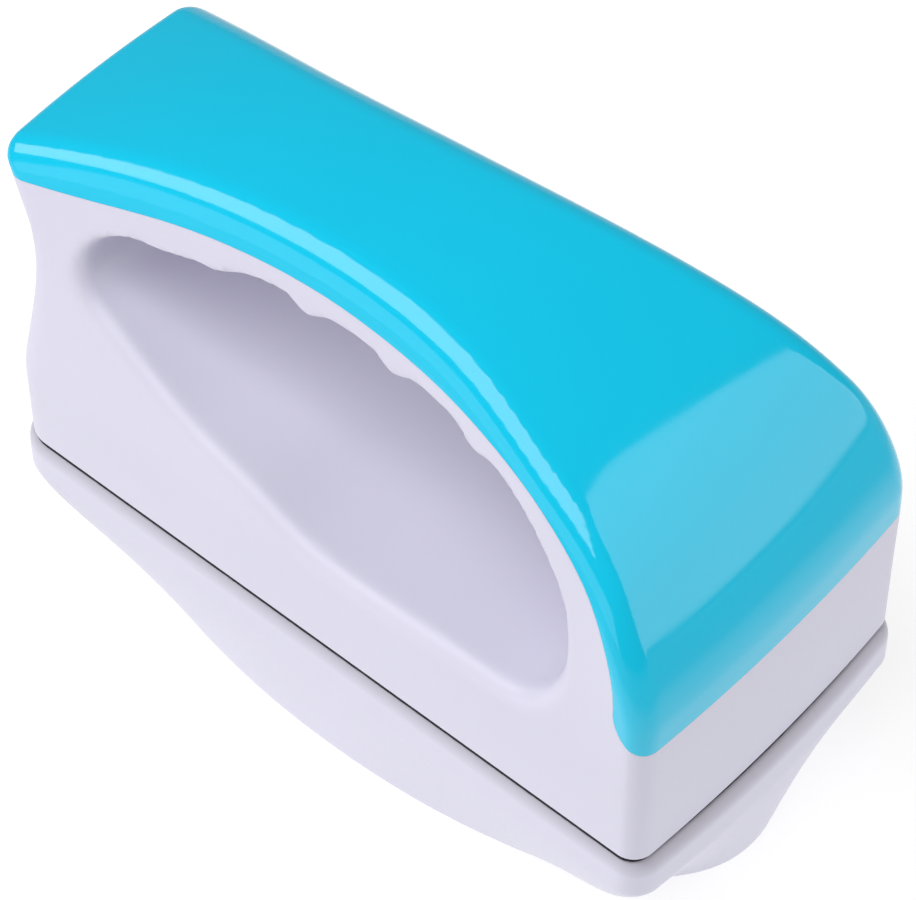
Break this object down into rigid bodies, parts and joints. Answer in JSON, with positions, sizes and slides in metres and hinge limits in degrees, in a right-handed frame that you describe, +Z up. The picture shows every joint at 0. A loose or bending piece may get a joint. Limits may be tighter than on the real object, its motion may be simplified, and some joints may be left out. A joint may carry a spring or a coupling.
{
  "type": "magnetic board eraser",
  "caption": "Hand-held magnetic board eraser: a handle half with a hand hole and a glossy arched cover, clamped to a hull-shaped lower half, with dark felt pads between them.",
  "frame": {"origin": "centre of the flat oval under the lower half, which the eraser rests on", "axes": "+X along the length towards the end that the cover wraps down over, +Y across the width, +Z up through the grip"},
  "size_m": [0.1652, 0.0758, 0.1179],
  "materials": {
    "cover_plastic": "high gloss moulded teal ABS",
    "shell_plastic": "satin moulded white ABS",
    "plate_plastic": "matt moulded white ABS",
    "felt": "dense dark wiping felt",
    "magnet_plating": "nickel plated block magnet",
    "yoke_steel": "cold rolled steel sheet",
    "screw_steel": "zinc plated steel"
  },
  "bodies": {
    "lower_half": {"lower_shell": "shell_plastic", "lower_closing_plate": "plate_plastic", "lower_magnet_1": "magnet_plating", "lower_magnet_2": "magnet_plating", "lower_magnet_3": "magnet_plating", "lower_magnet_4": "magnet_plating", "lower_steel_yoke": "yoke_steel", "lower_plate_screw_1": "screw_steel", "lower_plate_screw_2": "screw_steel", "lower_plate_screw_3": "screw_steel", "lower_plate_screw_4": "screw_steel", "lower_felt_pad": "felt"},
    "handle_half": {"handle_shell": "shell_plastic", "top_cover": "cover_plastic", "handle_closing_plate": "plate_plastic", "handle_magnet_1": "magnet_plating", "handle_magnet_2": "magnet_plating", "handle_magnet_3": "magnet_plating", "handle_magnet_4": "magnet_plating", "handle_steel_yoke": "yoke_steel", "handle_plate_screw_1": "screw_steel", "handle_plate_screw_2": "screw_steel", "handle_plate_screw_3": "screw_steel", "handle_plate_screw_4": "screw_steel", "handle_felt_pad": "felt"}
  },
  "joints": [
    {"name": "handle_lift", "type": "slide", "parent": "lower_half", "child": "handle_half", "axis": [0, 0, 1], "range_m": [0, 0.08]}
  ]
}
